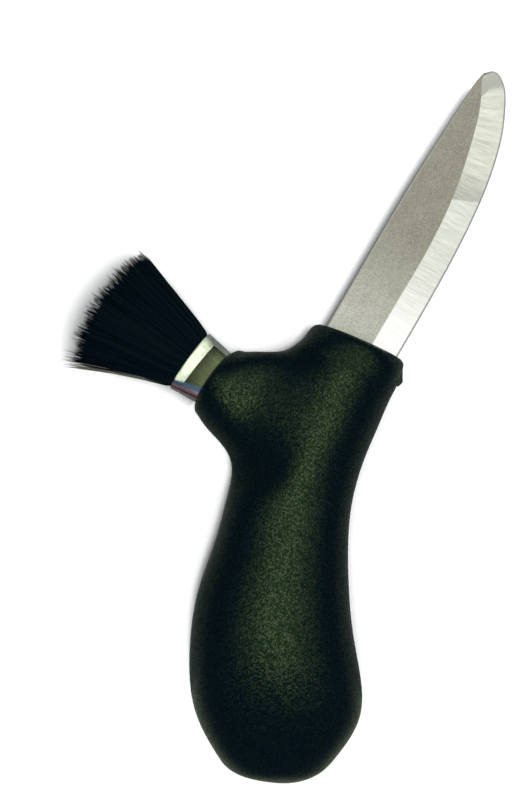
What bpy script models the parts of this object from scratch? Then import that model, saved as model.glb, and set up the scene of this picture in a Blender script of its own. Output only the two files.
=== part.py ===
"""Mushroom knife: a short curved blade and a round hair brush, both set in one moulded handle.

The knife lies on its side. +Z is up from the table, +Y runs along the handle from the butt to the blade,
and +X is the side of the cutting edge. Every piece is drawn in metres about a datum, the point where the
blade's centre line leaves the handle's flat front. The whole knife is then set down with the middle of its
footprint at the origin and its lowest point on the table.
"""

import math
import random

import bmesh
import bpy
from mathutils import Vector

# Fits and overruns shared by every piece
FIT_GAP = 0.0003
CUT_OVERRUN = 0.004

# Blade, ground from one strip of steel
BLADE_LENGTH = 0.0703
BLADE_WIDTH = 0.0178
BLADE_THICKNESS = 0.0020
BLADE_LEAN = math.radians(30.3)
EDGE_THICKNESS = 0.00016
SPINE_BREAK = 0.00025

# Tail of the blade inside the handle
SHOULDER_DEPTH = 0.0040
SHOULDER_SLOPE = 0.0012
TANG_LENGTH = 0.0380
TANG_WIDTH = 0.0090
TANG_HOLE_RADIUS = 0.0022
TANG_HOLE_START = 0.0100
TANG_HOLE_PITCH = 0.0160
TANG_HOLE_COUNT = 2
TANG_NOSE_SHARE = 0.25

# Handle, one moulding
HANDLE_LENGTH = 0.1018
HANDLE_WIDTH = 0.0397
HANDLE_DEPTH = 0.0280
HANDLE_SWEEP = 0.0206
HEAD_CHEEK = 0.0031
HEAD_DEPTH = 0.0244
FRONT_SLANT = math.radians(23.7)
FRONT_CROWN = 0.00035

# Small moulded lip behind the front corner, on the side of the cutting edge
LIP_AHEAD = 0.0012
LIP_BEHIND = 0.0025
LIP_HEIGHT = 0.0003
LIP_CHAMFER = 0.0009
LIP_HALF_WIDTH = 0.0042
LIP_ROOT = 0.0016

# Brush branch of the handle
BRUSH_LEAN = math.radians(54.0)
BRUSH_REACH = 0.0316
NUB_WALL = 0.00215
NUB_ROUND = 0.0024
NUB_BOW = 0.0003

# Ferrule, a thin turned tube that flares to its mouth
FERRULE_RADIUS = 0.0070
FERRULE_FLARE = 0.0008
FERRULE_WALL = 0.0005
FERRULE_SHOWN = 0.0066
FERRULE_BURIED = 0.0108
RIM_RADIUS = 0.00042
CRIMP_DISTANCE = 0.0023
CRIMP_WIDTH = 0.0008
CRIMP_DEPTH = 0.00012

# The crimp's groove, as shares of its width along the tube and of its depth
CRIMP_SHARES = ((-0.5, 0.0), (-0.25, 0.8), (0.0, 1.0), (0.25, 0.8), (0.5, 0.0))

# Hair and the resin that holds it
RESIN_DEPTH = 0.0032
BACKING_THICKNESS = 0.0010
RESIN_HEEL = 0.0008
HAIR_COUNT = 320
HAIR_RADIUS = 0.00025
HAIR_ROOT = 0.0004
HAIR_LENGTH = 0.0262
HAIR_DOME = 0.0042
HAIR_RAGGED = 0.0018
HAIR_STRAY = 0.00025
FAN_HALF_WIDTH = 0.0155
FAN_HALF_DEPTH = 0.0122
FAN_SHIFT = 0.0008
HAIR_POINT = 0.0016

# Counts that set how finely the round shapes are drawn
ROUND_STEPS = 40
HOLE_STEPS = 20
RIM_STEPS = 4
HAIR_SIDES = 3
BLADE_STEPS = 3
SMOOTH_LEVELS = 2
SEED = 20

# Faces that meet at less than these angles are shaded as one round surface
ROUND_ANGLE = math.radians(40.0)
BLADE_ROUND_ANGLE = math.radians(5.0)

# Blade outline, each row one line across the blade from spine to edge, as shares of its length and width.
# A row gives the spine point, the point where the grind starts and the point on the edge, each as
# (along from the handle's front, across from the spine).
BLADE_ROW_SHARES = (
    ((0.000, 0.000), (0.000, 0.631), (0.000, 1.000)),
    ((0.170, 0.000), (0.170, 0.633), (0.170, 1.000)),
    ((0.340, 0.000), (0.340, 0.637), (0.348, 0.989)),
    ((0.480, 0.003), (0.476, 0.612), (0.496, 0.959)),
    ((0.610, 0.016), (0.590, 0.560), (0.632, 0.903)),
    ((0.710, 0.032), (0.682, 0.490), (0.740, 0.823)),
    ((0.795, 0.046), (0.762, 0.413), (0.828, 0.724)),
    ((0.858, 0.058), (0.830, 0.339), (0.896, 0.608)),
    ((0.900, 0.067), (0.878, 0.267), (0.956, 0.476)),
    ((0.930, 0.075), (0.916, 0.192), (0.990, 0.333)),
    ((0.943, 0.082), (0.941, 0.137), (0.996, 0.213)),
    ((0.949, 0.088), (0.962, 0.099), (0.975, 0.110)),
)

# Sections of the grip from the butt to the neck, as shares of the handle's length, sweep, width, depth and
# front slant: (back from the datum, shift of the middle, width, depth, turn).
GRIP_SHARES = (
    (0.977, 0.932, 0.482, 0.350, 0.00),
    (0.937, 0.941, 0.698, 0.540, 0.00),
    (0.863, 0.926, 0.922, 0.755, 0.00),
    (0.775, 0.958, 1.000, 0.915, 0.00),
    (0.667, 1.000, 0.952, 1.000, 0.00),
    (0.559, 0.980, 0.877, 0.957, 0.00),
    (0.451, 0.892, 0.778, 0.914, 0.00),
    (0.353, 0.801, 0.736, 0.886, 0.00),
    (0.265, 0.718, 0.781, 0.871, 0.00),
)
BUTT_SHARES = (1.000, 0.853)

# Sections of the head from the neck to the front, in the same order, but with the width and depth as shares
# of the head's own.
HEAD_SHARES = (
    (0.1790, 0.540, 1.220, 1.000, 0.45),
    (0.0768, 0.312, 1.172, 1.000, 1.03),
    (0.0532, 0.178, 1.060, 0.984, 0.96),
    (0.0218, 0.076, 0.985, 0.934, 0.92),
    (0.0000, 0.020, 0.815, 0.740, 1.00),
)

# Where a section passes between its sides and its top: the handle's are a little fuller than a circle.
CORNER_SHARE = 0.73
CIRCLE_CORNER_SHARE = math.sqrt(0.5)

# Brush branch: where its axis leaves the handle's middle line, as shares of the length and the sweep, how
# far out its root's crest lies, as shares of the reach and the head's depth, how high the corners beside the
# root lie, as shares of the neck's and the head's half depth, how high the branch rises in the middle, as a
# share of its radius, and how its rings are spaced.
BRANCH_SHARES = (0.2223, 0.686)
CREST_SHARES = (0.400, 0.730)
NECK_CORNER_SHARE = 0.46
HEAD_CORNER_SHARE = 0.58
BRANCH_TOP_SHARE = 1.03
MIDDLE_RING_SHARE = 0.35
MOUTH_RING_SHARE = 0.85
MOUTH_STEP_SHARE = 0.20

# Lip, as shares of its half width and its height: the ends run down into the moulding.
LIP_END_SHARES = ((-1.0, -1.0), (-0.7, 1.0), (0.7, 1.0), (1.0, -1.0))

# How many points a section has, counted from the edge side over the top to the spine side and back below
AROUND = 8
EDGE_SIDE = 0
TOP = 2
SPINE_SIDE = 4
BOTTOM = 6

# How much a cage point's neighbours and diagonal neighbours pull on the smooth surface beside it
NEIGHBOUR_WEIGHT = 4
DIAGONAL_WEIGHT = 1
CAGE_ROUNDS = 60


def finish(name, colour, metallic, roughness):
    """One plain surface finish."""
    material = bpy.data.materials.new(name)
    material.use_nodes = True
    shader = material.node_tree.nodes["Principled BSDF"]
    shader.inputs["Base Color"].default_value = (*colour, 1.0)
    shader.inputs["Metallic"].default_value = metallic
    shader.inputs["Roughness"].default_value = roughness
    material.diffuse_color = (*colour, 1.0)
    return material


def add_piece(name, mesh_work, parent, material=None):
    """Turns finished mesh work into a named object under its parent; without a material it is a cutter."""
    bmesh.ops.recalc_face_normals(mesh_work, faces=mesh_work.faces)
    mesh = bpy.data.meshes.new(name)
    mesh_work.to_mesh(mesh)
    mesh_work.free()
    piece = bpy.data.objects.new(name, mesh)
    bpy.context.scene.collection.objects.link(piece)
    piece.parent = parent
    if material is None:
        piece.hide_render = True
        piece.display_type = "WIRE"
    else:
        mesh.materials.append(material)
    return piece


def add_frame(name, parent=None):
    """An empty that carries the pieces drawn in its own directions."""
    frame = bpy.data.objects.new(name, None)
    bpy.context.scene.collection.objects.link(frame)
    frame.parent = parent
    return frame


def combine(piece, operation, other):
    """Joins or cuts one piece by another."""
    change = piece.modifiers.new(other.name, "BOOLEAN")
    change.operation = operation
    change.solver = "EXACT"
    change.object = other


def shade_round(piece, sharp_angle=ROUND_ANGLE):
    """Shades a piece as round, but keeps its sharp corners."""
    piece.data.shade_smooth()
    piece.data.set_sharp_from_angle(angle=sharp_angle)


def skin_rings(rings, close_ends=True):
    """A closed skin over rings of equally many points, each ring joined to the next."""
    work = bmesh.new()
    loops = [[work.verts.new(point) for point in ring] for ring in rings]
    count = len(loops[0])
    for near, far in zip(loops, loops[1:]):
        for step in range(count):
            after = (step + 1) % count
            work.faces.new((near[step], near[after], far[after], far[step]))
    if close_ends:
        work.faces.new(loops[0])
        work.faces.new(loops[-1])
    return work


def turned(profile, steps):
    """A ring-shaped solid: a closed profile of (radius, height) points carried round the Z axis."""
    work = bmesh.new()
    angles = [math.tau * step / steps for step in range(steps)]
    loops = []
    for angle in angles:
        loops.append([work.verts.new((r * math.cos(angle), r * math.sin(angle), h)) for r, h in profile])
    for step in range(steps):
        near = loops[step]
        far = loops[(step + 1) % steps]
        for index in range(len(profile)):
            after = (index + 1) % len(profile)
            work.faces.new((near[index], near[after], far[after], far[index]))
    return work


def ring_points(radius, height, steps):
    """A level ring of points round the Z axis."""
    angles = [math.tau * step / steps for step in range(steps)]
    return [(radius * math.cos(angle), radius * math.sin(angle), height) for angle in angles]


def cylinder(radius, bottom, top, steps, centre=(0.0, 0.0)):
    """A plain upright cylinder."""
    rings = []
    for height in (bottom, top):
        ring = ring_points(radius, height, steps)
        rings.append([(x + centre[0], y + centre[1], z) for x, y, z in ring])
    return skin_rings(rings)


def cubic(t, before, start, end, after):
    """A number on the cubic from start to end, as t goes from 0 to 1, with slopes that follow all four."""
    rise = end - start
    first_slope = (end - before) / 2
    last_slope = (after - start) / 2
    bend = 3 * rise - 2 * first_slope - last_slope
    twist = first_slope + last_slope - 2 * rise
    return start + t * (first_slope + t * (bend + t * twist))


def smooth_between(rows, steps):
    """Rows of numbers with more rows between them, on a cubic that passes through every given row and whose
    slope at a row is half the step between the rows before and after it."""
    ahead = [2 * a - b for a, b in zip(rows[0], rows[1])]
    behind = [2 * a - b for a, b in zip(rows[-1], rows[-2])]
    run = [ahead, *rows, behind]
    found = []
    for before, start, end, after in zip(run, run[1:], run[2:], run[3:]):
        for step in range(steps):
            t = step / steps
            found.append([cubic(t, *numbers) for numbers in zip(before, start, end, after)])
    found.append(list(rows[-1]))
    return found


def blade_ring(spine, grind, edge, edge_half, grow):
    """One closed line round the blade. Spine, grind and edge are (across, along) points."""
    half = BLADE_THICKNESS / 2 + grow
    broken = half - SPINE_BREAK
    thin = edge_half + grow
    back = Vector((spine[0] - grow, spine[1]))
    ridge = back + (Vector(grind) - back).normalized() * SPINE_BREAK
    front = (edge[0] + grow, edge[1])
    return [
        (*back, -broken), (*back, broken), (*ridge, half), (*grind, half),
        (*front, thin), (*front, -thin), (*grind, -half), (*ridge, -half),
    ]


def blade_rows():
    """The outline's rows as real places: (spine, grind, edge), each (across the blade's middle, along)."""
    flat_rows = [[number for point in row for number in point] for row in BLADE_ROW_SHARES]
    rows = []
    for row in smooth_between(flat_rows, BLADE_STEPS):
        places = []
        for along, across in (row[0:2], row[2:4], row[4:6]):
            places.append(((across - 0.5) * BLADE_WIDTH, along * BLADE_LENGTH))
        rows.append(places)
    return rows


def tail_rings(grow):
    """Rings of the buried tail from the end of the tang to the front of the shoulder."""
    tang_start = -SHOULDER_DEPTH - SHOULDER_SLOPE
    tang_end = tang_start - TANG_LENGTH
    nose = TANG_NOSE_SHARE * TANG_WIDTH
    square = BLADE_THICKNESS / 2 - SPINE_BREAK
    rings = []
    for along, half_width in (
        (tang_end - grow, TANG_WIDTH / 2 - nose),
        (tang_end + nose, TANG_WIDTH / 2),
        (tang_start - grow, TANG_WIDTH / 2),
    ):
        rings.append(blade_ring((-half_width, along), (0.0, along), (half_width, along), square, grow))
    root = blade_rows()[0]
    along = -SHOULDER_DEPTH - grow
    spine, grind, edge = [(across, along) for across, _ in root]
    rings.append(blade_ring(spine, grind, edge, EDGE_THICKNESS / 2, grow))
    return rings


def close_blade(work, ring_count):
    """Closes both ends of a blade skin with faces across its thickness."""
    work.verts.ensure_lookup_table()
    for first in (0, (ring_count - 1) * AROUND):
        for corners in ((0, 1, 2, 7), (2, 3, 6, 7), (3, 4, 5, 6)):
            work.faces.new([work.verts[first + corner] for corner in corners])
    return work


def make_blade(parent, material):
    """The blade with its tail: a skin over rings from the tang's end to the tip, drilled through the tang."""
    rings = tail_rings(0.0)
    rings += [blade_ring(*row, EDGE_THICKNESS / 2, 0.0) for row in blade_rows()]
    work = close_blade(skin_rings(rings, close_ends=False), len(rings))
    blade = add_piece("blade", work, parent, material)
    shade_round(blade, BLADE_ROUND_ANGLE)
    combine(blade, "DIFFERENCE", make_tang_pegs("tang_hole_cutter", TANG_HOLE_RADIUS, parent))
    return blade


def make_tang_pegs(name, radius, parent):
    """Round pegs through the tang's holes, as one helper."""
    pegs = bmesh.new()
    reach = BLADE_THICKNESS / 2 + CUT_OVERRUN
    for index in range(TANG_HOLE_COUNT):
        along = -SHOULDER_DEPTH - SHOULDER_SLOPE - TANG_HOLE_START - index * TANG_HOLE_PITCH
        peg = cylinder(radius, -reach, reach, HOLE_STEPS, (0.0, along))
        mesh = bpy.data.meshes.new(name)
        peg.to_mesh(mesh)
        peg.free()
        pegs.from_mesh(mesh)
        bpy.data.meshes.remove(mesh)
    return add_piece(name, pegs, parent)


def make_blade_slot(parent):
    """The blade's seat in the handle: the tail with a gap all round, less the pegs that lock the tang."""
    rings = tail_rings(FIT_GAP)
    spine, grind, edge = [(across, CUT_OVERRUN) for across, _ in blade_rows()[0]]
    rings.append(blade_ring(spine, grind, edge, EDGE_THICKNESS / 2, FIT_GAP))
    work = close_blade(skin_rings(rings, close_ends=False), len(rings))
    slot = add_piece("blade_slot_cutter", work, parent)
    combine(slot, "DIFFERENCE", make_tang_pegs("tang_peg", TANG_HOLE_RADIUS - FIT_GAP, parent))
    return slot


def head_width():
    """The handle's width where the blade leaves it."""
    return BLADE_WIDTH + 2 * HEAD_CHEEK


def middle_line(back_share, sweep_share):
    """A point of the handle's middle line."""
    return Vector((-sweep_share * HANDLE_SWEEP, -back_share * HANDLE_LENGTH, 0.0))


def spread_round(corner):
    """Where a section's points lie, as (sideways, upward) shares, from one side over the top and back."""
    return ((1, 0), (corner, corner), (0, 1), (-corner, corner),
            (-1, 0), (-corner, -corner), (0, -1), (corner, -corner))


def section(middle, turn, half_width, half_depth):
    """The points round one section of the handle, whose edge side is turned towards the butt."""
    outward = Vector((math.cos(turn), -math.sin(turn), 0.0))
    ring = []
    for across, up in spread_round(CORNER_SHARE):
        ring.append(middle + outward * (across * half_width) + Vector((0.0, 0.0, up * half_depth)))
    return ring


def handle_sections():
    """Every section of the handle from the butt to the front."""
    rings = []
    for back, sweep, width, depth, turn in GRIP_SHARES:
        half_width = width * HANDLE_WIDTH / 2
        half_depth = depth * HANDLE_DEPTH / 2
        rings.append(section(middle_line(back, sweep), turn * FRONT_SLANT, half_width, half_depth))
    for back, sweep, width, depth, turn in HEAD_SHARES:
        half_width = width * head_width() / 2
        half_depth = depth * HEAD_DEPTH / 2
        rings.append(section(middle_line(back, sweep), turn * FRONT_SLANT, half_width, half_depth))
    crown = front_normal() * FRONT_CROWN
    rings[-1] = [point + crown for point in rings[-1]]
    return rings


def front_normal():
    """The direction that the handle's flat front faces."""
    return Vector((math.sin(FRONT_SLANT), math.cos(FRONT_SLANT), 0.0))


def brush_direction():
    """The direction in which the brush points."""
    return Vector((-math.sin(BRUSH_LEAN), math.cos(BRUSH_LEAN), 0.0))


def brush_side():
    """The direction across the brush, level with the table."""
    return Vector((math.cos(BRUSH_LEAN), math.sin(BRUSH_LEAN), 0.0))


def brush_mouth():
    """The middle of the ferrule's mouth."""
    return middle_line(*BRANCH_SHARES) + brush_direction() * BRUSH_REACH


def nub_ring(behind, radius, bow):
    """A ring of the brush branch, so far behind the mouth, with its top and underside brought forward."""
    middle = brush_mouth() - brush_direction() * behind
    ring = []
    for across, up in spread_round(CIRCLE_CORNER_SHARE):
        forward = brush_direction() * (bow * abs(up))
        ring.append(middle + brush_side() * (across * radius) + Vector((0.0, 0.0, up * radius)) + forward)
    return ring


def nub_rings(root):
    """Rings of the brush branch from its root to its end, and the point that closes it."""
    full = FERRULE_RADIUS + NUB_WALL
    outer = nub_ring(FERRULE_SHOWN + NUB_ROUND, full, NUB_BOW)
    end_radius = full - MOUTH_RING_SHARE * NUB_WALL
    end = nub_ring(FERRULE_SHOWN + MOUTH_STEP_SHARE * NUB_ROUND, end_radius, NUB_BOW)
    middle = [far.lerp(near, MIDDLE_RING_SHARE) for far, near in zip(outer, root)]
    middle[TOP].z = full * BRANCH_TOP_SHARE
    middle[BOTTOM].z = -full * BRANCH_TOP_SHARE
    tip = brush_mouth() - brush_direction() * FERRULE_SHOWN
    return [middle, outer, end], tip


def close_end(work, ring, tip):
    """Closes a ring with four faces that meet at one point."""
    point = work.verts.new(tip)
    for first in range(0, AROUND, 2):
        last = (first + 2) % AROUND
        work.faces.new((point, ring[first], ring[first + 1], ring[last]))


def join_loops(work, near, far, skipped=()):
    """Joins two loops by a band of faces, less the skipped ones."""
    for step in range(AROUND):
        if step not in skipped:
            after = (step + 1) % AROUND
            work.faces.new((near[step], near[after], far[after], far[step]))


def smooth_place(point):
    """Where the smooth surface passes a cage point, as a weighted mean of the points round it."""
    count = len(point.link_edges)
    total = point.co * count**2
    for edge in point.link_edges:
        total += edge.other_vert(point).co * NEIGHBOUR_WEIGHT
    for face in point.link_faces:
        corners = list(face.verts)
        total += corners[(corners.index(point) + 2) % len(corners)].co * DIAGONAL_WEIGHT
    return total / (count**2 + count * (NEIGHBOUR_WEIGHT + DIAGONAL_WEIGHT))


def settle_cage(work):
    """Moves the cage until its smooth surface passes through the places where its points were drawn."""
    drawn = {point: point.co.copy() for point in work.verts}
    for _ in range(CAGE_ROUNDS):
        misses = {point: place - smooth_place(point) for point, place in drawn.items()}
        for point, miss in misses.items():
            point.co += miss


def handle_cage():
    """The handle's control cage: sections joined from butt to front, with the brush branch grown from four
    faces on the spine side of the head."""
    work = bmesh.new()
    sections = handle_sections()
    root_near = len(GRIP_SHARES) - 1
    crest = root_near + 1
    root_far = root_near + 2
    crest_middle = middle_line(*BRANCH_SHARES) + brush_direction() * (CREST_SHARES[0] * BRUSH_REACH)
    crest_height = Vector((0.0, 0.0, CREST_SHARES[1] * HEAD_DEPTH / 2))
    sections[crest][SPINE_SIDE - 1] = crest_middle + crest_height
    sections[crest][SPINE_SIDE] = None
    sections[crest][SPINE_SIDE + 1] = crest_middle - crest_height
    neck_height = NECK_CORNER_SHARE * GRIP_SHARES[-1][3] * HANDLE_DEPTH / 2
    head_height = HEAD_CORNER_SHARE * HEAD_SHARES[1][3] * HEAD_DEPTH / 2
    for ring, height in ((root_near, neck_height), (root_far, head_height)):
        sections[ring][SPINE_SIDE - 1].z = height
        sections[ring][SPINE_SIDE + 1].z = -height
    rings = [[work.verts.new(place) if place else None for place in ring] for ring in sections]
    branch_faces = (SPINE_SIDE - 1, SPINE_SIDE)
    for index, (near, far) in enumerate(zip(rings, rings[1:])):
        join_loops(work, near, far, branch_faces if index in (root_near, crest) else ())
    close_end(work, rings[0], middle_line(*BUTT_SHARES))
    close_end(work, rings[-1], middle_line(0.0, HEAD_SHARES[-1][1]) + front_normal() * FRONT_CROWN)
    above, side, below = SPINE_SIDE - 1, SPINE_SIDE, SPINE_SIDE + 1
    root = [rings[root_far][side], rings[root_far][above], rings[crest][above], rings[root_near][above],
            rings[root_near][side], rings[root_near][below], rings[crest][below], rings[root_far][below]]
    drawn, tip = nub_rings([point.co.copy() for point in root])
    loops = [root] + [[work.verts.new(place) for place in ring] for ring in drawn]
    for near, far in zip(loops, loops[1:]):
        join_loops(work, near, far)
    close_end(work, loops[-1], tip)
    bmesh.ops.recalc_face_normals(work, faces=work.faces)
    settle_cage(work)
    return work


def make_lip(parent):
    """A small raised land on the belly of the front corner, level with the handle's length, which ends in a
    chamfer and fades out above and below."""
    corner = handle_sections()[-2][EDGE_SIDE]
    rings = []
    for width_share, rise_share in LIP_END_SHARES:
        rise = LIP_HEIGHT * rise_share
        outline = ((-LIP_ROOT, LIP_AHEAD), (rise, LIP_AHEAD), (rise, -LIP_BEHIND),
                   (-LIP_CHAMFER, -LIP_BEHIND - LIP_CHAMFER), (-LIP_ROOT - LIP_CHAMFER, -LIP_BEHIND))
        height = width_share * LIP_HALF_WIDTH
        rings.append([corner + Vector((across, along, height)) for across, along in outline])
    return add_piece("lip_form", skin_rings(rings), parent)


def make_front_cutter(parent):
    """A block in front of the handle, whose near face trims the front flat through the datum."""
    reach = head_width()
    sideways = Vector((math.cos(FRONT_SLANT), -math.sin(FRONT_SLANT), 0.0))
    rings = []
    for forward in (0.0, CUT_OVERRUN):
        ring = []
        for across, up in ((-1, -1), (1, -1), (1, 1), (-1, 1)):
            ring.append(front_normal() * forward + sideways * (across * reach) + Vector((0, 0, up * reach)))
        rings.append(ring)
    return add_piece("front_cutter", skin_rings(rings), parent)


def make_handle(knife, blade_frame, brush_frame, material):
    """The moulding: a smooth skin over the cage, with the lip added, the front trimmed flat, and the seats
    of the blade and the ferrule cut out."""
    handle = add_piece("handle", handle_cage(), knife, material)
    smooth = handle.modifiers.new("smooth", "SUBSURF")
    smooth.levels = SMOOTH_LEVELS
    smooth.render_levels = SMOOTH_LEVELS
    shade_round(handle)
    combine(handle, "UNION", make_lip(knife))
    combine(handle, "DIFFERENCE", make_front_cutter(knife))
    combine(handle, "DIFFERENCE", make_blade_slot(blade_frame))
    socket_end = -FERRULE_SHOWN - FERRULE_BURIED - FIT_GAP
    socket = cylinder(FERRULE_RADIUS + FIT_GAP, socket_end, CUT_OVERRUN, ROUND_STEPS)
    combine(handle, "DIFFERENCE", add_piece("socket_cutter", socket, brush_frame))
    return handle


def ferrule_inner_radius(depth):
    """The bore's radius at a depth below the mouth."""
    flare_left = max(0.0, 1.0 - depth / FERRULE_SHOWN)
    return FERRULE_RADIUS + FERRULE_FLARE * flare_left - FERRULE_WALL


def ferrule_profile():
    """The tube's wall: up the outside past the crimp, over the rolled rim and down the bore."""
    heel = -FERRULE_SHOWN - FERRULE_BURIED
    outside = [(FERRULE_RADIUS, heel), (FERRULE_RADIUS, -FERRULE_SHOWN)]
    for offset_share, depth_share in CRIMP_SHARES:
        height = -CRIMP_DISTANCE + offset_share * CRIMP_WIDTH
        radius = ferrule_inner_radius(-height) + FERRULE_WALL - depth_share * CRIMP_DEPTH
        outside.append((radius, height))
    mouth = FERRULE_RADIUS + FERRULE_FLARE
    rim = []
    for step in range(RIM_STEPS + 1):
        angle = math.pi * step / RIM_STEPS
        radius = mouth - RIM_RADIUS + RIM_RADIUS * math.cos(angle)
        rim.append((radius, -RIM_RADIUS + RIM_RADIUS * math.sin(angle)))
    inner = mouth - 2 * RIM_RADIUS
    neck = (min(inner, ferrule_inner_radius(CRIMP_DISTANCE / 2)), -CRIMP_DISTANCE / 2)
    inside = [neck]
    for height in (-FERRULE_SHOWN, heel):
        inside.append((ferrule_inner_radius(-height), height))
    return outside + rim + inside


def make_ferrule(parent, material):
    """The thin tube between the handle and the hair."""
    ferrule = add_piece("ferrule", turned(ferrule_profile(), ROUND_STEPS), parent, material)
    shade_round(ferrule)
    return ferrule


def make_resin_plug(parent, material):
    """The rest of the resin, below the slice that carries the hair."""
    top = -RESIN_DEPTH - BACKING_THICKNESS - FIT_GAP
    heel = RESIN_HEEL - FERRULE_SHOWN - FERRULE_BURIED
    rings = []
    for height in (heel, -FERRULE_SHOWN, top):
        radius = ferrule_inner_radius(-height) - FIT_GAP
        rings.append(ring_points(radius, height, ROUND_STEPS))
    plug = add_piece("resin_plug", skin_rings(rings), parent, material)
    shade_round(plug)
    return plug


def hair_spots(count):
    """Evenly spread places in a round bundle, as shares of its radius, on a sunflower's spiral."""
    golden_angle = math.pi * (3 - math.sqrt(5))
    spots = []
    for index in range(count):
        radius = math.sqrt((index + 0.5) / count)
        angle = index * golden_angle
        spots.append((radius * math.cos(angle), radius * math.sin(angle)))
    return spots


def make_hair(parent, material):
    """The hair, each strand a three-sided spike, rooted in the slice of resin that carries them all. Every
    strand keeps its place in the bundle at the root, the mouth and the tip, so that none cross."""
    chance = random.Random(SEED)
    root_radius = ferrule_inner_radius(RESIN_DEPTH) - FIT_GAP - 2 * HAIR_RADIUS
    mouth_radius = FERRULE_RADIUS + FERRULE_FLARE - 2 * RIM_RADIUS - FIT_GAP - HAIR_RADIUS
    work = bmesh.new()
    for spot in hair_spots(HAIR_COUNT):
        shorter = HAIR_DOME * (spot[0]**2 + spot[1]**2) + HAIR_RAGGED * chance.random()
        length = HAIR_LENGTH - shorter
        root = Vector((spot[0] * root_radius, spot[1] * root_radius, -RESIN_DEPTH - HAIR_ROOT))
        mouth = Vector((spot[0] * mouth_radius, spot[1] * mouth_radius, 0.0))
        tip = Vector((spot[0] * FAN_HALF_WIDTH - FAN_SHIFT, spot[1] * FAN_HALF_DEPTH, length))
        tip += Vector((chance.uniform(-1, 1), chance.uniform(-1, 1), 0.0)) * HAIR_STRAY
        shoulder = tip.lerp(mouth, HAIR_POINT / length)
        add_strand(work, (root, mouth, shoulder), tip, chance.uniform(0, math.tau))
    strands = add_piece("hair_form", work, parent)
    backing = []
    for depth in (RESIN_DEPTH + BACKING_THICKNESS, RESIN_DEPTH):
        backing.append(ring_points(ferrule_inner_radius(depth) - FIT_GAP, -depth, ROUND_STEPS))
    bristles = add_piece("bristles", skin_rings(backing), parent, material)
    combine(bristles, "UNION", strands)
    return bristles


def add_strand(work, middles, tip, turn):
    """One strand: small rings round the given middles, drawn to a point at the tip."""
    loops = []
    for middle in middles:
        loop = []
        for side in range(HAIR_SIDES):
            angle = turn + math.tau * side / HAIR_SIDES
            out = Vector((math.cos(angle), math.sin(angle), 0.0)) * HAIR_RADIUS
            loop.append(work.verts.new(middle + out))
        loops.append(loop)
    work.faces.new(loops[0])
    point = work.verts.new(tip)
    for side in range(HAIR_SIDES):
        after = (side + 1) % HAIR_SIDES
        for near, far in zip(loops, loops[1:]):
            work.faces.new((near[side], near[after], far[after], far[side]))
        work.faces.new((loops[-1][side], loops[-1][after], point))


def set_down(knife, pieces):
    """Puts the middle of the knife's footprint at the origin and its lowest point on the table."""
    bpy.context.view_layer.update()
    graph = bpy.context.evaluated_depsgraph_get()
    places = []
    for piece in pieces:
        solid = piece.evaluated_get(graph)
        skin = solid.to_mesh()
        places += [solid.matrix_world @ point.co for point in skin.vertices]
        solid.to_mesh_clear()
    low = Vector([min(place[axis] for place in places) for axis in range(3)])
    high = Vector([max(place[axis] for place in places) for axis in range(3)])
    middle = (low + high) / 2
    knife.location = (-middle.x, -middle.y, -low.z)


def main():
    """Clears the scene, then builds every piece and sets the knife down."""
    for old in list(bpy.data.objects):
        bpy.data.objects.remove(old)
    steel = finish("blade_steel", (0.62, 0.62, 0.57), 1.0, 0.32)
    moulding = finish("black_moulding", (0.012, 0.016, 0.014), 0.0, 0.55)
    bright = finish("bright_ferrule", (0.78, 0.79, 0.74), 1.0, 0.12)
    resin = finish("resin", (0.10, 0.07, 0.04), 0.0, 0.40)
    dark_hair = finish("dark_hair", (0.006, 0.009, 0.013), 0.0, 0.50)
    knife = add_frame("knife")
    blade_frame = add_frame("blade_frame", knife)
    blade_frame.rotation_euler = (0.0, 0.0, -BLADE_LEAN)
    brush_frame = add_frame("brush_frame", knife)
    brush_frame.location = brush_mouth()
    brush_frame.rotation_euler = (-math.pi / 2, 0.0, BRUSH_LEAN)
    pieces = [
        make_blade(blade_frame, steel),
        make_handle(knife, blade_frame, brush_frame, moulding),
        make_ferrule(brush_frame, bright),
        make_resin_plug(brush_frame, resin),
        make_hair(brush_frame, dark_hair),
    ]
    set_down(knife, pieces)


main()
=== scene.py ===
"""Looks of a mushroom knife, seen from straight above as it lies on a pale table.

Every surface is worked out as whole arrays of points in metres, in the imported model's own frame: +Z up from
the table, +Y along the grip towards the blade, +X to the side of the cutting edge.
"""

import math

import bmesh
import bpy
import numpy as np
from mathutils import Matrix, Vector


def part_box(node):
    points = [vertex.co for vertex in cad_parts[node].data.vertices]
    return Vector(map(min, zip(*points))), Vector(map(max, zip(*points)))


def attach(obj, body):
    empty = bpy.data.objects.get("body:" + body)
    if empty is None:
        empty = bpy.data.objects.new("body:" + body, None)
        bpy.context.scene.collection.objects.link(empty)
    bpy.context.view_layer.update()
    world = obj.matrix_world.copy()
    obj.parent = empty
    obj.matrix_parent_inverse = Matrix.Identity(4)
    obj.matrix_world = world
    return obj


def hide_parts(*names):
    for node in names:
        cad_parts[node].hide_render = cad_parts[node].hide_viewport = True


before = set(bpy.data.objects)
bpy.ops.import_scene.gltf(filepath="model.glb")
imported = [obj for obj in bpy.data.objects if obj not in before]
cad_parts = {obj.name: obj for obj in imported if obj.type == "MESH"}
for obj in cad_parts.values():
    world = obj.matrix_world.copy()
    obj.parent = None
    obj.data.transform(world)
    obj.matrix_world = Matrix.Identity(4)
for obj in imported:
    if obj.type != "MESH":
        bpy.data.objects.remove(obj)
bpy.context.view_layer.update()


# Blade
BLADE_LENGTH = 0.0703
BLADE_WIDTH = 0.0178
BLADE_THICKNESS = 0.0020
BLADE_LEAN = math.radians(30.3)
EDGE_THICKNESS = 0.00010
SPINE_BREAK = 0.00025
HONED_WIDTH = 0.00034
HONED_THICKNESS = 0.00030
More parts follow.
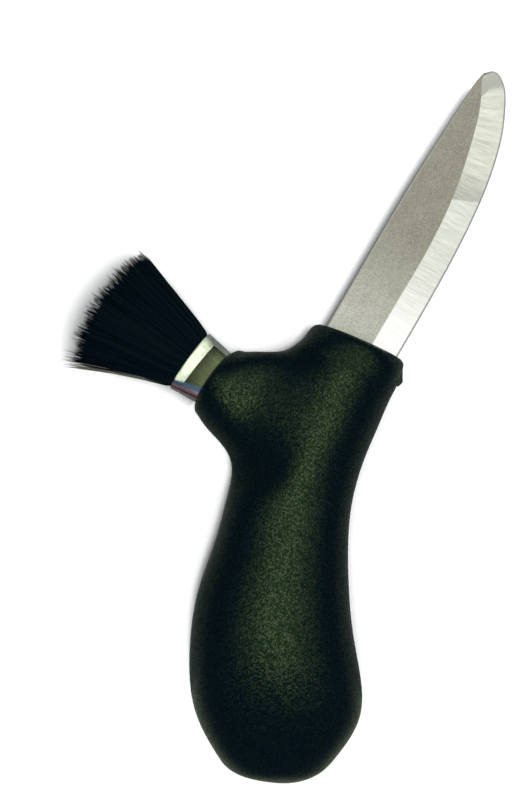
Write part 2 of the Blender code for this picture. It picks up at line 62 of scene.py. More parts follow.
CORNER_POINTS = 5
FLAT_STEPS = 11
BEVEL_STEPS = 8
PASS_END = 0.0428
TIP_SHADE = 0.0738

# Tail of the blade inside the handle
SHOULDER_DEPTH = 0.0040
SHOULDER_SLOPE = 0.0012
TANG_LENGTH = 0.0380
TANG_WIDTH = 0.0090
TANG_NOSE = 0.00225
TANG_HOLE_RADIUS = 0.0022
TANG_HOLE_START = 0.0100
TANG_HOLE_PITCH = 0.0160
TANG_ROOT = -SHOULDER_DEPTH - SHOULDER_SLOPE
TANG_END = TANG_ROOT - TANG_LENGTH
TANG_EDGE_HALF = BLADE_THICKNESS / 2 - SPINE_BREAK
TANG_ROWS = 3

# Handle
HANDLE_LENGTH = 0.1018
HANDLE_WIDTH = 0.0397
HANDLE_DEPTH = 0.0280
HANDLE_SWEEP = 0.0206
HEAD_WIDTH = 0.0240
HEAD_DEPTH = 0.0244
FRONT_SLANT = math.radians(23.7)
FRONT_CROWN = 0.00035
SECTION_CORNER = 0.73
FIT_GAP = 0.0003
CUT_OVERRUN = 0.004

# Lip behind the handle's front corner
LIP_AHEAD = 0.0012
LIP_BEHIND = 0.0025
LIP_HEIGHT = 0.0003
LIP_CHAMFER = 0.0009
LIP_HALF_WIDTH = 0.0042
LIP_ROOT = 0.0016
LIP_END_FALL = (LIP_HEIGHT + LIP_ROOT) * 0.8

# Brush branch and ferrule
BRUSH_LEAN = math.radians(54.0)
BRUSH_REACH = 0.0316
NUB_WALL = 0.00215
NUB_ROUND = 0.0024
NUB_BOW = 0.0009
FERRULE_RADIUS = 0.0070
FERRULE_FLARE = 0.0008
MOUTH_RADIUS = FERRULE_RADIUS + FERRULE_FLARE
FERRULE_WALL = 0.0005
FERRULE_SHOWN = 0.0066
FERRULE_BURIED = 0.0108
RIM_RADIUS = 0.00042
CRIMP_DISTANCE = 0.0023
CRIMP_WIDTH = 0.0008
CRIMP_DEPTH = 0.00012
MILLIMETRES = 1000.0

# Hair: its points are at these heights, in the resin and at the mouth, and then at shares of its length
RESIN_DEPTH = 0.0032
ROOT_HEIGHTS = np.array((-RESIN_DEPTH, -0.0003, 0.0010))
SHOWN_SHARES = np.array((0.22, 0.62, 0.88, 1.0))
HAIR_TAPER = np.array((1.0, 1.0, 1.0, 0.95, 0.90, 0.75))
HAIR_SIDES = 3
HAIR_COUNT = 3600
HAIR_RADIUS = 0.00016
HAIR_RADIUS_RANGE = (0.75, 1.15)
HAIR_LENGTH = 0.0258
HAIR_DOME = 0.0023
HAIR_DEPTH_DOME = 0.0008
FAN_HALF_WIDTH = 0.0150
FAN_HALF_DEPTH = 0.0122
FAN_SHIFT = 0.0010
QUICK_OPENING = 0.0010
QUICK_SHARE = 0.75
SLOW_OPENING = 0.0050

# Tufts, and the ragged tips
TUFT_COUNT = 820
TUFT_SCATTER = 0.014
TUFT_PULL = 0.92
TUFT_STRAY = 0.00030
HAIR_STRAY = 0.00004
AHEAD_CHANCE = 0.15
AHEAD_RANGE = (0.0004, 0.0017)
TIP_SLANT = 0.0009
TIP_TRIM = 0.0005
TUFT_RAGGED = 0.0010
HAIR_RAGGED = 0.0002

# Strays: spots are shares of the bundle's radius, bends are metres at the tip, tones are places in the finish
STRAY_COUNT = 84
STRAY_ARC = 0.7
STRAY_SPOT = 0.985
STRAY_BEND_RANGE = (-0.0042, -0.0002)
STRAY_LIFT = 0.0008
STRAY_SHORT_RANGE = (-0.0010, 0.0030)
STRAY_THINNESS = 0.6
PALE_CHANCE = 0.8
PALE_BEND = -0.0022
PALE_SPOT = -0.90
PALE_TONE = 1.5
DARK_TONE = 0.3

# Table and wall
TABLE_REACH = 4.0
SHADE_REACH = 0.0105
SHEET_HEIGHT = 0.00002
SHEET_CORNERS = ((-0.0636, 0.0603), (-0.0636, -0.0058), (-0.0331, -0.0058), (-0.0235, 0.0057),
                 (-0.0218, 0.0185), (-0.0358, 0.0370), (-0.0358, 0.0603))
WALL_ANGLES = (-0.1, math.pi / 2 * 0.98)

# Soft boxes over the dark pieces: name, left, right, near and far edge, and power
OVERHEAD_HEIGHT = 0.600
OVERHEAD_COLOUR = (0.87, 0.95, 0.53)
OVERHEADS = (
    ("overhead_core", -0.13, 0.22, -0.35, 0.16, 0.99),
    ("overhead_box", -0.24, 0.38, -0.36, 0.30, 0.84),
    ("overhead_haze", -0.40, 0.62, -0.36, 0.65, 1.40),
)

# Glows from the table: name, place, size, power and colour
TABLE_GLOWS = (
    ("table_glow", (0.0, 0.0, 0.0004), (0.6, 0.6), 0.130, (0.90, 1.0, 0.76)),
    ("butt_glow", (-0.008, -0.105, 0.0005), (0.17, 0.075), 0.0080, (0.90, 1.0, 0.70)),
)

# Camera
CAMERA_PLACE = (-0.006042, 0.006211, 0.2474)
SENSOR_WIDTH = 36.0
FOCAL_PIXELS = 1006
PICTURE_PIXELS = 800

# Blade outline: (along, across) of the spine, the start of the grind and the edge, as shares
BLADE_ROW_SHARES = np.array((
    (0.000, 0.000, 0.000, 0.631, 0.000, 1.000),
    (0.170, 0.000, 0.170, 0.633, 0.170, 1.000),
    (0.340, 0.000, 0.340, 0.637, 0.348, 0.989),
    (0.480, 0.003, 0.476, 0.612, 0.496, 0.959),
    (0.610, 0.016, 0.590, 0.560, 0.632, 0.903),
    (0.710, 0.032, 0.682, 0.490, 0.740, 0.823),
    (0.795, 0.046, 0.762, 0.413, 0.828, 0.724),
    (0.858, 0.058, 0.830, 0.339, 0.896, 0.608),
    (0.900, 0.067, 0.878, 0.267, 0.956, 0.476),
    (0.930, 0.075, 0.916, 0.192, 0.990, 0.333),
    (0.943, 0.082, 0.941, 0.137, 0.996, 0.213),
    (0.949, 0.088, 0.962, 0.099, 0.975, 0.110),
))

# Handle sections: back, sweep, width, depth and turn, as shares
GRIP_SHARES = np.array((
    (0.977, 0.932, 0.482, 0.350, 0.00),
    (0.937, 0.941, 0.698, 0.540, 0.00),
    (0.863, 0.926, 0.922, 0.755, 0.00),
    (0.775, 0.958, 1.000, 0.915, 0.00),
    (0.667, 1.000, 0.952, 1.000, 0.00),
    (0.559, 0.980, 0.877, 0.957, 0.00),
    (0.451, 0.892, 0.778, 0.914, 0.00),
    (0.353, 0.801, 0.736, 0.886, 0.00),
    (0.265, 0.718, 0.781, 0.871, 0.00),
))
HEAD_SHARES = np.array((
    (0.1790, 0.540, 1.220, 1.000, 0.45),
    (0.0768, 0.312, 1.172, 1.000, 1.03),
    (0.0532, 0.178, 1.060, 0.984, 0.96),
    (0.0218, 0.076, 0.985, 0.934, 0.92),
    (0.0000, 0.020, 0.815, 0.740, 1.00),
))
BUTT_SHARES = (1.000, 0.853)
BRANCH_SHARES = (0.2223, 0.686)
CREST_SHARES = (0.400, 0.730)
NECK_CORNER_SHARE = 0.46
HEAD_CORNER_SHARE = 0.58
BRANCH_TOP_SHARE = 1.03
BRANCH_ROOT_SHARE = 0.35
NUB_END_SHARES = (0.20, 0.85)

# Places in a ring of eight points, and the three sections that the branch grows from
ABOVE, SIDE, BELOW = 3, 4, 5
NEAR, CREST, FAR = (len(GRIP_SHARES) + step for step in (-1, 0, 1))

UP = np.array((0.0, 0.0, 1.0))
FRONT = np.array((math.sin(FRONT_SLANT), math.cos(FRONT_SLANT), 0.0))
FRONT_SIDE = np.array((math.cos(FRONT_SLANT), -math.sin(FRONT_SLANT), 0.0))
BRUSH_OUT = np.array((-math.sin(BRUSH_LEAN), math.cos(BRUSH_LEAN), 0.0))
BRUSH_SIDE = np.array((math.cos(BRUSH_LEAN), math.sin(BRUSH_LEAN), 0.0))
BLADE_OUT = np.array((math.sin(BLADE_LEAN), math.cos(BLADE_LEAN), 0.0))
BLADE_SIDE = np.array((math.cos(BLADE_LEAN), -math.sin(BLADE_LEAN), 0.0))


def find_datum():
    """Where the blade's centre line leaves the handle's front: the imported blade's lowest corner, less its
    place from here, which is at the tang's side in x, at its nose in y and at the lower flat in z. It is
    rounded to a micrometre, so that the cuts don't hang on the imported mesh's last digits."""
    side_end = -TANG_WIDTH / 2 * BLADE_SIDE + (TANG_END + TANG_NOSE) * BLADE_OUT
    nose_corner = (TANG_WIDTH / 2 - TANG_NOSE) * BLADE_SIDE + TANG_END * BLADE_OUT
    from_here = np.array((side_end[0], nose_corner[1], -BLADE_THICKNESS / 2))
    return np.round(np.array(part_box("blade")[0]) - from_here, decimals=6)


DATUM = find_datum()


def middle_line(back, sweep):
    """A point of the handle's middle line, from its shares of the length and the sweep."""
    return DATUM + np.array((-sweep * HANDLE_SWEEP, -back * HANDLE_LENGTH, 0.0))


BRUSH_MOUTH = middle_line(*BRANCH_SHARES) + BRUSH_OUT * BRUSH_REACH


# Mesh work

def make_mesh(name, points, face_sets):
    """A mesh from an array of points and arrays of faces, each with its own number of corners."""
    mesh = bpy.data.meshes.new(name)
    faces = [face for face_set in face_sets for face in np.asarray(face_set).tolist()]
    mesh.from_pydata(np.asarray(points).reshape(-1, 3).tolist(), [], faces)
    mesh.validate()
    return mesh


def round_angles(count):
    """Evenly spread angles, once round."""
    return np.linspace(0.0, math.tau, count, endpoint=False)


def on_circle(angle):
    """Points of the unit circle, one for each angle."""
    return np.stack((np.cos(angle), np.sin(angle)), -1)


def make_object(name, mesh):
    """A mesh as an object at the origin."""
    made = bpy.data.objects.new(name, mesh)
    bpy.context.scene.collection.objects.link(made)
    return made


def face_outwards(mesh):
    """Turns every face of a closed mesh outwards."""
    work = bmesh.new()
    work.from_mesh(mesh)
    bmesh.ops.recalc_face_normals(work, faces=work.faces)
    work.to_mesh(mesh)
    work.free()


def put_pattern(mesh, name, places):
    """Gives each point's (u, v) place to the mesh as a UV map."""
    layer = mesh.uv_layers.new(name=name)
    corner_points = np.empty(len(mesh.loops), np.int32)
    mesh.loops.foreach_get("vertex_index", corner_points)
    layer.data.foreach_set("uv", places[corner_points].astype(np.float32).ravel())


def make_solid(name, points, face_sets, pattern=None, places=None):
    """A closed mesh as an object, its faces outwards, and with a pattern where each point has its place."""
    mesh = make_mesh(name, points, face_sets)
    if pattern:
        put_pattern(mesh, pattern, places)
    face_outwards(mesh)
    return make_object(name, mesh)


def tube_faces(rings, around):
    """Quads between each ring of points and the next, where a ring closes on itself."""
    ring, step = np.meshgrid(np.arange(rings - 1), np.arange(around), indexing="ij")
    near = ring * around
    after = (step + 1) % around
    corners = (near + step, near + after, near + around + after, near + around + step)
    return np.stack(corners, -1).reshape(-1, 4)


def closed_tube(name, rings):
    """A tube over rings of points, of shape (rings, around, 3), closed by one face at each end."""
    count, around = rings.shape[:2]
    ends = (np.arange(around)[None], (np.arange(around) + (count - 1) * around)[None])
    return make_solid(name, rings, (tube_faces(count, around), *ends))


def settle(piece):
    """Works a piece's modifiers out for good."""
    bpy.context.view_layer.update()
    graph = bpy.context.evaluated_depsgraph_get()
    mesh = bpy.data.meshes.new_from_object(piece.evaluated_get(graph))
    piece.modifiers.clear()
    piece.data = mesh


def carve(piece, operation, tools):
    """Joins or cuts a piece by other solids, which are then thrown away."""
    for tool in tools:
        change = piece.modifiers.new(tool.name, "BOOLEAN")
        change.operation = operation
        change.solver = "EXACT"
        change.object = tool
    settle(piece)
    for tool in tools:
        bpy.data.objects.remove(tool)


def shade(piece, angle):
    """Shades a piece as one round surface wherever its faces meet at less than the angle, in degrees."""
    piece.data.shade_smooth()
    piece.data.set_sharp_from_angle(angle=math.radians(angle))


def dress(piece, finish, slot, *nodes):
    """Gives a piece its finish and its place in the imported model."""
    piece.data.materials.clear()
    piece.data.materials.append(finish)
    if nodes:
        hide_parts(*nodes)
    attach(piece, "root")


# Finishes

class Signal:
    """One output of a finish's nodes. Sums written on it in Python add the nodes that work them out."""

    def __init__(self, finish, output):
        self.finish = finish
        self.output = output

    def maths(self, operation, *numbers):
        return self.finish.node("ShaderNodeMath", {"operation": operation}, dict(enumerate(numbers)))

    def __add__(self, other):
        return self.maths("ADD", self, other)

    def __sub__(self, other):
        return self.maths("SUBTRACT", self, other)

    def __rsub__(self, other):
        return self.maths("SUBTRACT", other, self)

    def __mul__(self, other):
        return self.maths("MULTIPLY", self, other)

    def __truediv__(self, other):
        return self.maths("DIVIDE", self, other)

    def __rtruediv__(self, other):
        return self.maths("DIVIDE", other, self)

    __radd__ = __add__
    __rmul__ = __mul__


class Finish:
    """A material: plain numbers go on the shader's own sockets, and node() adds whatever varies."""

    def __init__(self, name, **plain):
        self.material = bpy.data.materials.new(name)
        self.material.use_nodes = True
        self.tree = self.material.node_tree
        self.shader = self.tree.nodes["Principled BSDF"]
        for socket, value in plain.items():
            self.shader.inputs[socket.replace("_", " ")].default_value = value

    def node(self, kind, settings=None, inputs=None, output=0):
        """Adds a node, gives it its settings and then its inputs' values or links, and returns one output."""
        made = self.tree.nodes.new(kind)
        for name, value in (settings or {}).items():
            setattr(made, name, value)
        for socket, value in (inputs or {}).items():
            if isinstance(value, Signal):
                self.tree.links.new(value.output, made.inputs[socket])
            else:
                made.inputs[socket].default_value = value
        return Signal(self, made.outputs[output])

    def place(self):
        """Places on the object, in metres."""
        return self.node("ShaderNodeTexCoord", output="Object")

    def pattern(self, name):
        """The two places of the piece's own UV map, as separate numbers."""
        spot = self.node("ShaderNodeUVMap", {"uv_map": name})
        return [self.node("ShaderNodeSeparateXYZ", inputs={0: spot}, output=axis) for axis in range(2)]

    def joined(self, x, y):
        """Two numbers as one vector."""
        return self.node("ShaderNodeCombineXYZ", inputs={0: x, 1: y})

    def noise(self, place, scale, detail=2.0, roughness=0.5):
        """Soft noise, from 0 to 1 about 0.5."""
        inputs = {"Vector": place, "Scale": scale, "Detail": detail, "Roughness": roughness}
        return self.node("ShaderNodeTexNoise", inputs=inputs)

    def specks(self, place, scale):
        """A value of its own, from 0 to 1, for each cell of an uneven mesh of cells."""
        return self.node("ShaderNodeTexVoronoi", inputs={"Vector": place, "Scale": scale}, output="Color")

    def step(self, value, low, high, first=0.0, last=1.0):
        """Goes smoothly from first to last while value goes from low to high."""
        inputs = {"Value": value, "From Min": low, "From Max": high, "To Min": first, "To Max": last}
        return self.node("ShaderNodeMapRange", {"interpolation_type": "SMOOTHSTEP"}, inputs)

    def blend(self, share, first, last):
        """A colour between two others."""
        inputs = {0: share}
        for socket, colour in ((6, first), (7, last)):
            inputs[socket] = colour if isinstance(colour, Signal) else (*colour, 1.0)
        return self.node("ShaderNodeMix", {"data_type": "RGBA"}, inputs, output=2)

    def bump(self, height, distance, strength=1.0, facing=None):
        """A bumpy surface of that depth in metres, over one that already faces its own way if given."""
        inputs = {"Height": height, "Distance": distance, "Strength": strength}
        if facing:
            inputs["Normal"] = facing
        return self.node("ShaderNodeBump", inputs=inputs)

    def vectors(self, operation, *places):
        """Maths on whole vectors."""
        return self.node("ShaderNodeVectorMath", {"operation": operation}, dict(enumerate(places)))

    def set(self, **links):
        """Links what varies to the shader and returns the finished material."""
        for socket, signal in links.items():
            self.tree.links.new(signal.output, self.shader.inputs[socket.replace("_", " ")])
        return self.material


def grained_black_moulding():
    """Greenish black plastic with a fine spark-eroded grain, whose every speck leans a little its own way,
    and whose glinting specks are also painted a little lighter, a faint painted glint.
    """
    made = Finish("grained_black_moulding", Specular_IOR_Level=0.25, IOR=1.46,
                  Specular_Tint=(0.55, 1.0, 0.32, 1.0), Coat_Roughness=0.30, Coat_IOR=1.5)
    spot = made.place()
    grain = made.noise(spot, 3000.0, detail=2.0, roughness=0.6)
    speck = made.specks(spot, 3800.0)
    cloud = made.noise(spot, 90.0, detail=3.0)
    glint = made.step(speck, 0.35, 0.90)
    # Painted glint: specks that glint are also a little lighter and more olive.
    colour = made.blend(glint * 0.5, (0.0001, 0.0021, 0.0050), (0.0012, 0.0036, 0.0040))
    rough = 0.30 - glint * 0.08 + (cloud - 0.5) * 0.06
    lean_range = 0.22
    lean = made.vectors("MULTIPLY_ADD", speck, (lean_range,) * 3, (-lean_range / 2,) * 3)
    leaning = made.vectors("ADD", made.node("ShaderNodeNewGeometry", output="Normal"), lean)
    facing = made.vectors("NORMALIZE", leaning)
    return made.set(Base_Color=colour, Roughness=rough, Coat_Weight=made.step(speck, 0.48, 0.82),
                    Normal=made.bump(grain, 0.00002, facing=facing))


def ground_steel():
    """Knife steel, with light and shade painted into its colour: a mottled flat, painted darker and browner
    towards the tip and darker along the spine's broken corner; a bevel with grinding lines square to the
    edge, painted with a near-white highlight at the heel that dims past a place where one pass ends, lightens
    near the tip and turns a painted grey at the very tip; and a narrow honed edge painted dark. The pattern
    gives
    the metres along the edge, and the side: 0 to 1 over the flat, to 2 down the bevel and to 3 over the honed
    edge."""
    made = Finish("ground_steel")
    run, side = made.pattern("ground")
    spot = made.place()
    bevel = made.step(side, 0.99, 1.01)
    honed = made.step(side, 1.97, 2.03)
    mottle = made.noise(spot, 3200.0, detail=3.0, roughness=0.7)
    cloud = made.noise(spot, 300.0, detail=3.0)
    grain = made.specks(spot, 4200.0)
    flat_share = made.step(mottle * 0.50 + cloud * 0.18 + grain * 0.32, 0.28, 0.72)
    near_flat = made.blend(flat_share, (0.42, 0.42, 0.37), (0.64, 0.645, 0.57))
    # Painted shade: the flat is darker and browner towards the tip.
    tip_flat_shade = made.blend(flat_share, (0.240, 0.230, 0.182), (0.385, 0.372, 0.305))
    flat = made.blend(made.step(run, 0.002, 0.036), near_flat, tip_flat_shade)
    # Painted shade: the spine's broken corner is a darker, partly matt grey.
    flat = made.blend(made.step(side, 0.0, 0.04), (0.26, 0.26, 0.23), flat)
    lines = made.noise(made.joined(run * 4600.0, side * 1.1), 1.0, detail=3.0, roughness=0.7)
    bands = made.noise(made.joined(run * 900.0, side * 0.3), 1.0, detail=2.0)
    line_share = made.step(lines * 0.75 + bands * 0.25, 0.34, 0.66)
    # Painted highlights on the bevel: near white at the heel, dimmer past the place where one pass ends,
    # lighter again near the tip.
    heel = made.blend(line_share, (0.92, 0.92, 0.89), (1.0, 1.0, 0.99))
    first_pass = made.blend(line_share, (0.58, 0.59, 0.54), (0.82, 0.83, 0.76))
    second_pass = made.blend(line_share, (0.39, 0.40, 0.355), (0.58, 0.59, 0.52))
    near_tip_highlight = made.blend(line_share, (0.57, 0.58, 0.50), (0.81, 0.82, 0.72))
    before = made.blend(made.step(run, 0.008, 0.030), heel, first_pass)
    after = made.blend(made.step(run, 0.046, 0.056), second_pass, near_tip_highlight)
    ragged_run = run - side * 0.0022 + made.noise(made.joined(side * 5.0, 0.0), 1.0) * 0.0006
    ground = made.blend(made.step(ragged_run, PASS_END, PASS_END + 0.0004), before, after)
    # Painted shade: a grey patch over the very tip.
    ground = made.blend(made.step(run, TIP_SHADE, TIP_SHADE + 0.0020), ground, (0.44, 0.45, 0.40))
    # Painted shade: the honed edge is dark grey.
    colour = made.blend(honed, made.blend(bevel, flat, ground), (0.30, 0.30, 0.29))
    rough_flat = made.step(mottle, 0.35, 0.65, 0.48, 0.38)
    rough_ground = made.step(lines, 0.30, 0.70, 0.34, 0.24)
    rough = rough_flat * (1.0 - bevel) + rough_ground * bevel
    height = mottle * (1.0 - bevel) * 0.5 + lines * bevel
    metal = made.step(side, 0.0, 0.05, 0.70, 1.0)
    return made.set(Base_Color=colour, Metallic=metal, Roughness=rough,
                    Normal=made.bump(height, 0.000008, 0.6))


def ferrule_metal_painted_reflections():
    """Plated tube with its reflections painted into its colour: a painted bright band behind the mouth as far
    as the crimp, a painted dark olive reflection behind it, a pale painted reflection along one side, painted
    bluish, pinkish and brown reflection streaks along both flanks, and thin dark painted lines over the tube.
    The pattern gives the side, from -1 to 1 across the tube, and the depth below the mouth in millimetres."""
    made = Finish("ferrule_metal_painted_reflections")
    side, depth = made.pattern("tube")
    spot = made.place()
    wave = made.noise(spot, 240.0, detail=2.0)
    haze = made.noise(spot, 2400.0, detail=3.0)
    streak = made.noise(made.joined(side * 9.0, depth * 0.15), 1.0, detail=2.0)
    # Painted reflection: a bright band behind the mouth, as far as the crimp.
    mouth_band_highlight = made.blend(haze, (0.58, 0.66, 0.46), (0.76, 0.83, 0.66))
    # Painted dark reflection: dark olive behind the crimp.
    dark_reflection_share = made.step(depth + streak * 2.0, 3.2, 7.4)
    dark_reflection = made.blend(dark_reflection_share, (0.020, 0.027, 0.011), (0.075, 0.094, 0.040))
    colour = made.blend(made.step(depth - side * 0.35, 2.35, 2.65), mouth_band_highlight, dark_reflection)
    # Painted reflection: a pale strip along one side of the tube.
    colour = made.blend(made.step(side + (streak - 0.5) * 0.1, 0.80, 0.86), colour, (0.34, 0.39, 0.33))
    # Painted reflections: bluish, pinkish and brown streaks along the flank.
    flank = (side + 1.0) / (1.0 + depth * 0.12) + (streak - 0.5) * 0.08
    for start, end, tint in ((0.33, 0.27, (0.045, 0.09, 0.14)), (0.22, 0.18, (0.22, 0.14, 0.15)),
                             (0.13, 0.11, (0.07, 0.05, 0.06)), (0.08, 0.06, (0.30, 0.24, 0.25))):
        colour = made.blend(made.step(flank, start, end), colour, tint)
    # Painted reflections: thin dark lines over the tube.
    dark_line_noise = made.noise(made.joined(side * 14.0, depth * 2.6), 1.0, detail=3.0)
    colour = made.blend(made.step(dark_line_noise, 0.66, 0.72), colour, (0.05, 0.055, 0.03))
    rough = made.step(haze, 0.35, 0.70, 0.14, 0.26)
    metal = made.step(wave, 0.35, 0.65, 0.55, 0.70)
    return made.set(Base_Color=colour, Metallic=metal, Roughness=rough, Normal=made.bump(wave, 0.00004, 0.6))


def black_brush_hair():
    """Blue-black hair, a little different from strand to strand, with the tips of some painted a pale grey as
    highlights, and the strays of PALE_TONE painted beige as glints. The pattern gives the strand's tone, from
    0 to 1 or PALE_TONE, and the share of its length."""
    made = Finish("black_brush_hair", Specular_IOR_Level=0.07)
    tone, along = made.pattern("strands")
    colour = made.blend(made.step(tone, 0.55, 1.0), (0.0002, 0.0026, 0.0068), (0.0021, 0.0070, 0.0086))
    # Painted highlight: the tips of some strands are pale grey.
    tip_highlight = made.step(tone, 0.82, 0.84) * made.step(along, 0.88, 0.94)
    colour = made.blend(tip_highlight, colour, (0.64, 0.70, 0.64))
    # Painted glint: strays of PALE_TONE are beige.
    pale_glint = made.step(tone, PALE_TONE - 0.3, PALE_TONE - 0.2)
    colour = made.blend(pale_glint, colour, (0.115, 0.107, 0.088))
    rough = made.step(along, 0.0, 1.0, 0.42, 0.58)
    return made.set(Base_Color=colour, Roughness=rough)


def set_resin():
    """Brown set resin, deep in the ferrule."""
    made = Finish("set_resin")
    cloud = made.noise(made.place(), 700.0, detail=3.0)
    colour = made.blend(cloud, (0.06, 0.035, 0.016), (0.15, 0.10, 0.055))
    return made.set(Base_Color=colour, Roughness=made.step(cloud, 0.3, 0.7, 0.30, 0.50))


# Blade

def curve_through(rows, steps):
    """More rows between the given ones, on cubics that pass through every row with slopes that are half the
    step between its two neighbours (Catmull and Rom's curve)."""
    run = np.vstack((2 * rows[0] - rows[1], rows, 2 * rows[-1] - rows[-2]))
    before, start, end, after = (run[first:len(run) - 3 + first, None] for first in range(4))
    t = (np.arange(steps) / steps)[None, :, None]
    rise = end - start
    first_slope = (end - before) / 2
    last_slope = (after - start) / 2
    bend = 3 * rise - 2 * first_slope - last_slope
    found = start + t * (first_slope + t * (bend + t * (first_slope + last_slope - 2 * rise)))
    return np.vstack((found.reshape(-1, rows.shape[1]), rows[-1:]))


def blade_loops(spine, grind, edge, grow=0.0):
    """Closed loops round the blade, one for each row of spine, grind and edge places, and the pattern place
    of every point.

    Upper half of a loop: up the spine's wall, a quarter circle over its broken corner, straight to the start
    of the grind, straight down the bevel to the honed edge, and down that to the edge. The lower half is its
    mirror image in the blade's middle plane."""
    half = BLADE_THICKNESS / 2 + grow
    in_tang = np.arange(len(spine))[:, None] < TANG_ROWS
    edge_half, honed_half = (np.where(in_tang, TANG_EDGE_HALF, thickness / 2) + grow
                             for thickness in (EDGE_THICKNESS, HONED_THICKNESS))
    back = spine - (grow, 0.0)
    front = edge + (grow, 0.0)
    inward = grind - back
    inward /= np.linalg.norm(inward, axis=1, keepdims=True)
    turn = np.linspace(0.0, math.pi / 2, CORNER_POINTS)[None, :, None]
    corner = back[:, None] + inward[:, None] * SPINE_BREAK * (1 - np.cos(turn))
    corner_rise = np.broadcast_to(half - SPINE_BREAK * (1 - np.sin(turn[..., 0])), corner.shape[:2])
    ridge = back + inward * SPINE_BREAK
    falling = front - grind
    fall_length = np.linalg.norm(falling, axis=1, keepdims=True)
    honed = front - falling / fall_length * HONED_WIDTH
    flat_share = np.linspace(0.0, 1.0, FLAT_STEPS + 1)[None, 1:, None]
    flat = ridge[:, None] + (grind - ridge)[:, None] * flat_share
    flat_rise = np.full(flat.shape[:2], half)
    bevel_share = np.linspace(0.0, 1.0, BEVEL_STEPS + 1)[None, 1:, None]
    bevel = grind[:, None] + (honed - grind)[:, None] * bevel_share
    bevel_rise = half + (honed_half - half) * bevel_share[..., 0]
    upper = np.concatenate((corner, flat, bevel, front[:, None]), 1)
    rise = np.concatenate((corner_rise, flat_rise, bevel_rise, edge_half), 1)
    across = np.concatenate((np.zeros(CORNER_POINTS), flat_share.ravel(), 1 + bevel_share.ravel(), (3.0,)))
    loop = np.concatenate((upper, upper[:, ::-1]), 1)
    heights = np.concatenate((rise, -rise[:, ::-1]), 1)
    pattern = np.broadcast_to(np.concatenate((across, across[::-1])), heights.shape)
    return np.concatenate((loop, heights[..., None]), -1), pattern


def outline_rows(steps):
    """Places of the spine, the start of the grind and the edge, as (across the middle, along) in metres."""
    rows = curve_through(BLADE_ROW_SHARES, steps)
    return [(rows[:, (k + 1, k)] - (0.5, 0.0)) * (BLADE_WIDTH, BLADE_LENGTH) for k in (0, 2, 4)]


def tail_rows(grow):
    """The same places for the buried tail: two rings round the tang's nose, one at its root, one at the
    shoulder, where the blade has its full width again."""
    along = np.array((TANG_END - grow, TANG_END + TANG_NOSE, TANG_ROOT - grow, -SHOULDER_DEPTH - grow))
    wide = np.array((TANG_WIDTH / 2 - TANG_NOSE, TANG_WIDTH / 2, TANG_WIDTH / 2, BLADE_WIDTH / 2))
    grind = np.array((0.0, 0.0, 0.0, (BLADE_ROW_SHARES[0, 3] - 0.5) * BLADE_WIDTH))
    return [np.stack((across, along), -1) for across in (-wide, grind, wide)]


def loop_solid(name, loops, pattern=None, places=None):
    """A solid over blade loops, its ends closed by strips across the thickness."""
    count, around = loops.shape[:2]
    strip = np.arange(around // 2 - 1)
    cap = np.stack((strip, strip + 1, around - 2 - strip, around - 1 - strip), -1)
    faces = (tube_faces(count, around), cap[:, ::-1], cap + (count - 1) * around)
    return make_solid(name, in_blade_frame(loops), faces, pattern, places)


def in_blade_frame(points):
    """Turns points from (across, along, up) of the blade to the model's frame."""
    return DATUM + points[..., :1] * BLADE_SIDE + points[..., 1:2] * BLADE_OUT + points[..., 2:] * UP


def pegs(radius):
    """Round pegs through the tang's two holes."""
    reach = BLADE_THICKNESS / 2 + CUT_OVERRUN
    made = []
    for hole in range(2):
        along = TANG_ROOT - TANG_HOLE_START - hole * TANG_HOLE_PITCH
        rim = radius * on_circle(round_angles(32)) + (0.0, along)
        rings = [np.column_stack((rim, np.full(len(rim), height))) for height in (-reach, reach)]
        made.append(closed_tube(f"peg_{hole}", in_blade_frame(np.stack(rings))))
    return made


def edge_run(places, edge):
    """For every place, how far along the edge its nearest point of the edge lies, in metres."""
    walked = np.concatenate(((0.0,), np.cumsum(np.linalg.norm(np.diff(edge, axis=0), axis=1))))
    flat = places.reshape(-1, 1, 2)
    nearest = np.argmin(((flat - edge[None]) ** 2).sum(-1), 1)
    along = np.gradient(edge, axis=0)
    along /= np.linalg.norm(along, axis=1, keepdims=True)
    offset = ((flat[:, 0] - edge[nearest]) * along[nearest]).sum(-1)
    return (walked[nearest] + offset).reshape(places.shape[:-1])


def make_blade(finish):
    """The blade from the end of its tang to its tip, as one skin of loops."""
    tail = tail_rows(0.0)
    shown = outline_rows(20)
    spine, grind, edge = (np.vstack(both) for both in zip(tail, shown))
    loops, across_pattern = blade_loops(spine, grind, edge)
    along_pattern = edge_run(loops[..., :2], edge)
    along_pattern -= along_pattern[len(tail[0]), -1]
    places = np.stack((along_pattern, across_pattern), -1).reshape(-1, 2)
    blade = loop_solid("blade_ground", loops, "ground", places)
    carve(blade, "DIFFERENCE", pegs(TANG_HOLE_RADIUS))
    shade(blade, 5.0)
    dress(blade, finish, "blade_steel", "blade")


# Handle

def round_spread(corner):
    """Eight (sideways, upward) shares round a section, from one side over the top and back below."""
    return np.array(((1, 0), (corner, corner), (0, 1), (-corner, corner),
                     (-1, 0), (-corner, -corner), (0, -1), (corner, -corner)), float)


